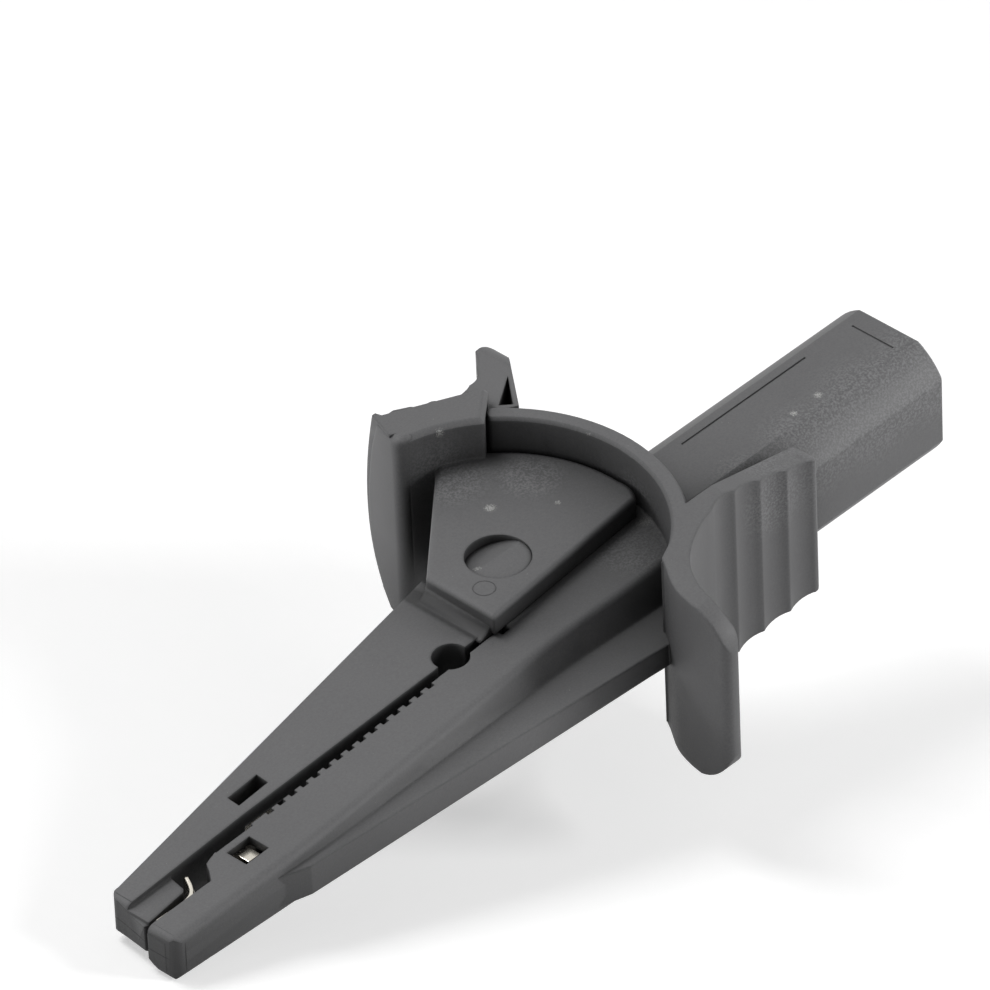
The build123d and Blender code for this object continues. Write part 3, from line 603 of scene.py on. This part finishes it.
@dataclass
class HingeSpring:
    """The torsion spring, drawn as round wire: coil and body leg on the body, the other leg on the lever.

    The lever's piece repeats the coil's last follow_deg degrees, thicker by sleeve_mm all round. Its leg is
    shorter than leg_mm by a quarter of coil_mm * tan(leg_deg).
    """

    wire_mm: float = 0.385
    coil_mm: float = 3.3
    turns: int = 4
    leg_mm: float = 8.5
    leg_deg: float = 15.0
    rise_mm: float = 1.55
    follow_deg: float = 45.0
    sleeve_mm: float = 0.004
    points_per_turn: int = 48
    leg_points: int = 10

    def coil(self, start_deg: float, end_deg: float) -> np.ndarray:
        """Points of the coil between two angles of swing.

        A point's angle round the hinge is -90 degrees less the swing, and its height grows evenly with it.

        Args:
            start_deg: First angle of swing.
            end_deg: Last angle of swing.

        Returns:
            Points in millimetres, one row each.
        """
        whole = 360 * self.turns + self.leg_deg
        swing = np.linspace(start_deg, end_deg, int((end_deg - start_deg) / 360 * self.points_per_turn) + 2)
        turn = np.radians(swing)
        return PIVOT + np.stack((-self.coil_mm * np.sin(turn), -self.coil_mm * np.cos(turn),
                                 2 * self.rise_mm * swing / whole - self.rise_mm), axis=1)

    def build(self) -> None:
        """Build both pieces. The lever's piece doubles the coil's end, so no gap opens as it turns."""
        whole = 360 * self.turns + self.leg_deg
        coil = self.coil(0.0, whole)
        share = np.linspace(1.0, 0.0, self.leg_points)[:-1, None]
        body_leg = coil[0] + share * np.array((self.leg_mm, 0.0, 0.0))
        fixed = round_bar("hinge_spring_coil", np.vstack((body_leg, coil)), self.wire_mm)
        end = self.coil(whole - self.follow_deg, whole)
        lean = math.radians(self.leg_deg)
        reach = self.leg_mm - self.coil_mm * math.tan(lean) / 4
        lever_leg = end[-1] + share[::-1] * reach * np.array((-math.cos(lean), math.sin(lean), 0.0))
        moving = round_bar("hinge_spring_lever_leg", np.vstack((end, lever_leg)),
                           self.wire_mm + self.sleeve_mm)
        add_piece(fixed, WIRE, Rides.BODY)
        add_piece(moving, WIRE, Rides.LEVER)
        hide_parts("torsion_spring")


@dataclass
class EjectorRing:
    """The faint round witness line that an ejector pin leaves on a moulding.

    Its place is in millimetres from the hinge, and it has section points round the line.
    """

    name: str
    rides: Rides
    finish: MouldedPolyamide
    x: float
    y: float
    z: float
    radius: float = 0.9
    line_mm: float = 0.05
    sink_mm: float = 0.025
    around: int = 48
    section: int = 8

    def build(self) -> None:
        """Build a thin ring whose line lies sink_mm below the ring's place.

        Its points are R + r cos b away from the middle and r sin b above the line, at angles a and b.
        """
        angle = (np.arange(self.around) * 2 * math.pi / self.around)[:, None]
        tube = np.arange(self.section) * 2 * math.pi / self.section
        reach = self.radius + self.line_mm * np.cos(tube)
        middle = PIVOT + np.array((self.x, self.y, self.z - self.sink_mm))
        height = np.zeros((self.around, 1)) + self.line_mm * np.sin(tube)
        points = np.stack((middle[0] + np.cos(angle) * reach, middle[1] + np.sin(angle) * reach,
                           middle[2] + height), axis=2).reshape(-1, 3) * MM
        ring = mesh_object(self.name, points, grid_faces(self.around, self.section, True).tolist())
        add_piece(ring, self.finish, self.rides)


def corner_round(corners: np.ndarray, radii: np.ndarray, steps: int = 7) -> np.ndarray:
    """Round the corners of a closed plan outline.

    Each corner becomes steps points on a circle that touches both of its sides: the circle's middle lies on
    the corner's bisector, radius / sin(half angle) away from the corner.

    Args:
        corners: Plan corners in millimetres, anticlockwise, one row each.
        radii: A radius for each corner.
        steps: Points on each corner.

    Returns:
        Outline points in millimetres, one row each.
    """
    back = np.roll(corners, 1, axis=0) - corners
    on = np.roll(corners, -1, axis=0) - corners
    back /= np.linalg.norm(back, axis=1, keepdims=True)
    on /= np.linalg.norm(on, axis=1, keepdims=True)
    half = np.arccos(np.clip((back * on).sum(axis=1), -1, 1)) / 2
    bisector = back + on
    bisector /= np.linalg.norm(bisector, axis=1, keepdims=True)
    middle = corners + bisector * (radii / np.sin(half))[:, None]
    first = corners + back * (radii / np.tan(half))[:, None] - middle
    start = np.arctan2(first[:, 1], first[:, 0])
    turn = np.pi - 2 * half
    angle = start[:, None] + turn[:, None] * np.linspace(0, 1, steps)[None, :]
    points = middle[:, None, :] + radii[:, None, None] * np.stack((np.cos(angle), np.sin(angle)), axis=2)
    return points.reshape(-1, 2)


def skin(name: str, rows: np.ndarray) -> bpy.types.Object:
    """Close a stack of rings into a solid.

    Args:
        name: The object's name.
        rows: Rings from the lowest to the highest in millimetres from the hinge, shaped rows x points x 3,
            each anticlockwise seen from above.

    Returns:
        The solid's object: quads between the rings and one face across each end.
    """
    count, around = rows.shape[:2]
    points = (rows.reshape(-1, 3) + PIVOT) * MM
    sides = np.roll(grid_faces(count, around)[:, ::-1], 1, axis=1)
    bottom = list(range(around))[::-1]
    top = list(range((count - 1) * around, count * around))
    return mesh_object(name, points, sides.tolist() + [bottom, top])


@dataclass
class HoodFace:
    """The hood's finger face: straight and rounded along its inner edge, bowed along its outer edge."""

    inner_edge: tuple[float, float] = (1.5, 12.0)
    lean: tuple[float, float] = (0.3228, 0.9465)
    wall_entry: tuple[float, float] = (3.2, 12.15)
    outer_depth_mm: float = 0.75
    outer_back_mm: float = 0.8
    half_height_mm: float = 9.19
    end_round_mm: float = 0.5
    side_share: float = 0.6
    corner_radii_mm: tuple[float, ...] = (0.85, 0.04, 0.04, 0.5)
    bow_heights_mm: tuple[float, ...] = (-9.2, -7.0, -4.2, 0.9, 5.9, 9.2)
    bow_reach_mm: tuple[float, ...] = (3.6, 5.6, 6.8, 6.85, 5.9, 4.6)
    rows: int = 57
    smoothed_over: int = 9

    def build(self) -> None:
        """Build the face as a stack of rounded bars and ride it on the lever.

        A bar's plan runs from the inner edge along the lean, as long as the bow at its height, which is
        the reach between the given heights smoothed by a rolling mean. Near both ends its front moves in
        by inset = round - sqrt(round^2 - (round - distance to the end)^2), its two sides by a share of
        that, its corner radii shrink by the factor 1 - inset / 2, and its back stays in the hood.
        """
        height = np.linspace(-self.half_height_mm, self.half_height_mm, self.rows)
        reach = np.interp(height, self.bow_heights_mm, self.bow_reach_mm)
        window = np.ones(self.smoothed_over) / self.smoothed_over
        smooth = np.convolve(np.pad(reach, self.smoothed_over // 2, mode="edge"), window, mode="valid")
        near = np.clip(self.end_round_mm - (self.half_height_mm - np.abs(height)), 0.0, self.end_round_mm)
        inset = self.end_round_mm - np.sqrt(self.end_round_mm ** 2 - near ** 2)
        start = np.array(self.inner_edge)
        lean = np.array(self.lean)
        away = np.array((lean[1], -lean[0]))
        bars = []
        for z, length, near_end in zip(height, smooth, inset):
            first = start + (away + lean * self.side_share) * near_end
            outer = start + lean * (length - self.outer_back_mm) + away * self.outer_depth_mm
            last = first + lean * (length - 2 * self.side_share * near_end)
            radii = np.array(self.corner_radii_mm) * (1 - near_end / 2)
            plan = corner_round(np.vstack((first, self.wall_entry, outer, last)), radii)
            bars.append(np.column_stack((plan, np.full(len(plan), z))))
        add_piece(skin("hood_face", np.stack(bars)), LEVER_PLASTIC, Rides.LEVER)


@dataclass
class BentLeaf:
    """The bright leaf at the tip: a strip with rounded edges that bends up to the seam."""

    thickness_mm: float = 0.5
    half_height_mm: float = 1.7
    plan: tuple[tuple[float, float], ...] = ((-46.15, -7.2), (-45.2, -7.22), (-44.2, -7.24), (-43.3, -7.24),
                                             (-42.7, -7.17), (-42.2, -7.02), (-41.85, -6.76), (-41.55, -6.4),
                                             (-41.2, -5.8), (-40.9, -5.2))
    rows: int = 40
    around: int = 28
    side_power: float = 0.6
    end_power: float = 0.25

    def build(self) -> None:
        """Carry an upright rounded bar section along the plan line, which is smoothed by a rolling mean.

        The section is a superellipse: thickness / 2 * sign(cos a) |cos a|^side_power across the line and
        half height * sign(sin a) |sin a|^end_power up it.
        """
        line = np.array(self.plan)
        run = np.concatenate(((0.0,), np.cumsum(np.linalg.norm(np.diff(line, axis=0), axis=1))))
        even = np.linspace(0, run[-1], self.rows)
        path = np.stack((np.interp(even, run, line[:, 0]), np.interp(even, run, line[:, 1])), axis=1)
        padded = np.vstack((np.repeat(path[:1], 2, axis=0), path, np.repeat(path[-1:], 2, axis=0)))
        path = (padded[:-4] + padded[1:-3] + padded[2:-2] + padded[3:-1] + padded[4:]) / 5
        heading = np.gradient(path, axis=0)
        heading /= np.linalg.norm(heading, axis=1, keepdims=True)
        across = np.stack((heading[:, 1], -heading[:, 0]), axis=1)
        angle = np.arange(self.around) * 2 * math.pi / self.around
        width = self.thickness_mm / 2 * np.sign(np.cos(angle)) * np.abs(np.cos(angle)) ** self.side_power
        height = self.half_height_mm * np.sign(np.sin(angle)) * np.abs(np.sin(angle)) ** self.end_power
        plan = path[:, None, :] + width[None, :, None] * across[:, None, :]
        rings = np.concatenate((plan, np.broadcast_to(height[None, :, None], plan.shape[:2] + (1,))), axis=2)
        leaf = skin("tip_leaf_bent", rings)
        add_piece(leaf, NICKEL, Rides.BODY)
        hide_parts("tip_leaf")


@dataclass(frozen=True)
class SoftLamp:
    """One square soft lamp. Its direction is where it hangs, seen from the clip's middle, in millimetres."""

    name: str
    direction: tuple[float, float, float]
    watts: float
    size_mm: float

    def hang(self) -> None:
        """Hang the lamp so that it looks at the clip's middle."""
        data = bpy.data.lights.new(self.name, "AREA")
        data.energy = self.watts
        data.size = self.size_mm * MM
        obj = bpy.data.objects.new(self.name, data)
        away = Vector(self.direction)
        turn = away.to_track_quat("Z", "Y").to_matrix().to_4x4()
        obj.matrix_world = Matrix.Translation((MIDDLE + away) * MM) @ turn
        bpy.context.scene.collection.objects.link(obj)


LAMPS = (SoftLamp("key", (-60.0, 200.0, 400.0), watts=1.05, size_mm=200.0),
         SoftLamp("left", (-330.0, 240.0, 110.0), watts=0.55, size_mm=140.0),
         SoftLamp("right", (290.0, -290.0, 130.0), watts=1.05, size_mm=140.0))


@dataclass
class Studio:
    """White paper, soft lamps and the camera, all set from the clip's own frame."""

    pixels_per_mm: float = 12.75
    origin_px: tuple[float, float] = (883.609, 388.638)
    lens_mm: float = 500.0
    sensor_mm: float = 36.0
    right: tuple[float, float, float] = (0.6820, -0.7306, -0.0340)
    up: tuple[float, float, float] = (0.4760, 0.4080, 0.7790)
    tip_mm: tuple[float, float, float] = (-86.5, -4.5, -2.3)
    paper_slope_deg: float = 15.0
    paper_shift_mm: float = 40.0
    paper_radii_mm: tuple[float, ...] = (0.001, 60.0, 150.0, 400.0)
    paper_points: int = 96
    fill: float = 0.13

    def camera(self) -> None:
        """Place the camera on the photograph's line of sight.

        The picture plane's axes are right and up. The point at the picture's centre is found from where
        the frame's origin falls in the picture, and the camera stands back from it along right x up.
        """
        right = Vector(self.right).normalized()
        up = Vector(self.up)
        up = (up - right * up.dot(right)).normalized()
        back = right.cross(up)
        half = IMAGE_WIDTH / 2
        centre = (right * ((half - self.origin_px[0]) / self.pixels_per_mm)
                  - up * ((half - self.origin_px[1]) / self.pixels_per_mm))
        centre += back * (MIDDLE - centre).dot(back)
        distance = self.lens_mm * IMAGE_WIDTH / self.pixels_per_mm / self.sensor_mm
        data = bpy.data.cameras.new("camera")
        data.lens = self.lens_mm
        data.sensor_width = self.sensor_mm
        data.clip_start = 0.01
        data.clip_end = 20.0
        obj = bpy.data.objects.new("camera", data)
        rows = Matrix((right, up, back)).transposed().to_4x4()
        rows.translation = (centre + back * distance) * MM
        obj.matrix_world = rows
        bpy.context.scene.collection.objects.link(obj)
        bpy.context.scene.camera = obj

    def paper(self) -> None:
        """Lay a disc of paper under the tip, sloping down towards the tube as in the photograph.

        Its rings are radius * (cos a, sin a), shifted along X and then turned down about Y by the slope.
        """
        slope = math.radians(self.paper_slope_deg)
        angle = np.linspace(0, 2 * math.pi, self.paper_points, endpoint=False)
        radius = np.array(self.paper_radii_mm)[:, None]
        x = (radius * np.cos(angle)).ravel() + self.paper_shift_mm
        y = (radius * np.sin(angle)).ravel()
        points = np.stack((self.tip_mm[0] + x * math.cos(slope), self.tip_mm[1] + y,
                           self.tip_mm[2] - x * math.sin(slope)), axis=1) * MM
        floor = mesh_object("paper", points, grid_faces(len(radius), self.paper_points).tolist())
        PaperSweep().dress(floor)

    def world(self) -> None:
        """Set the world: white to the camera and to mirrors, a plain grey fill for the rest."""
        world = bpy.data.worlds.new("studio")
        bpy.context.scene.world = world
        world.use_nodes = True
        tree = world.node_tree
        tree.nodes.clear()
        fill = add_node(tree, "ShaderNodeBackground", Color=WHITE, Strength=self.fill)
        white = add_node(tree, "ShaderNodeBackground", Color=WHITE, Strength=1.0)
        mixed = add_node(tree, "ShaderNodeMixShader",
                         {0: in_sight(tree), 1: fill.outputs[0], 2: white.outputs[0]})
        add_node(tree, "ShaderNodeOutputWorld", {"Surface": mixed.outputs[0]})

    def build(self) -> None:
        """Build the paper, the lamps, the world and the camera."""
        self.paper()
        for lamp in LAMPS:
            lamp.hang()
        self.world()
        self.camera()
        bpy.context.scene.view_settings.view_transform = "Standard"


def main(nodes: dict[str, bpy.types.Object]) -> None:
    """Dress the nodes that show, add the small pieces, then build the studio.

    Args:
        nodes: The CAD frame's nodes by name.
    """
    CadPart("body_moulding", BODY_PLASTIC, MOULDED_EDGE).dress(nodes)
    CadPart("lever_moulding", LEVER_PLASTIC, MOULDED_EDGE).dress(nodes)
    for node in ("socket_contact", "contact_strip", "lever_insert"):
        CadPart(node, NICKEL, METAL_EDGE).dress(nodes)
    CadPart("jaw_insert", CONTACT, METAL_EDGE).dress(nodes)
    BentLeaf().build()
    HoodFace().build()
    HingeSpring().build()
    # The hood's ring is inside the CAD's box, 0.005 mm under the hood's surface, so it doesn't show
    EjectorRing("ejector_ring_hood", Rides.LEVER, LEVER_PLASTIC, x=7.0, y=13.1, z=9.17).build()
    EjectorRing("ejector_ring_cheek", Rides.LEVER, LEVER_PLASTIC, x=-3.6, y=-1.9, z=5.35).build()
    Studio().build()


if __name__ == "__main__":
    logging.basicConfig(level=logging.INFO, format="%(message)s")
    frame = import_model()
    main(frame["nodes"])
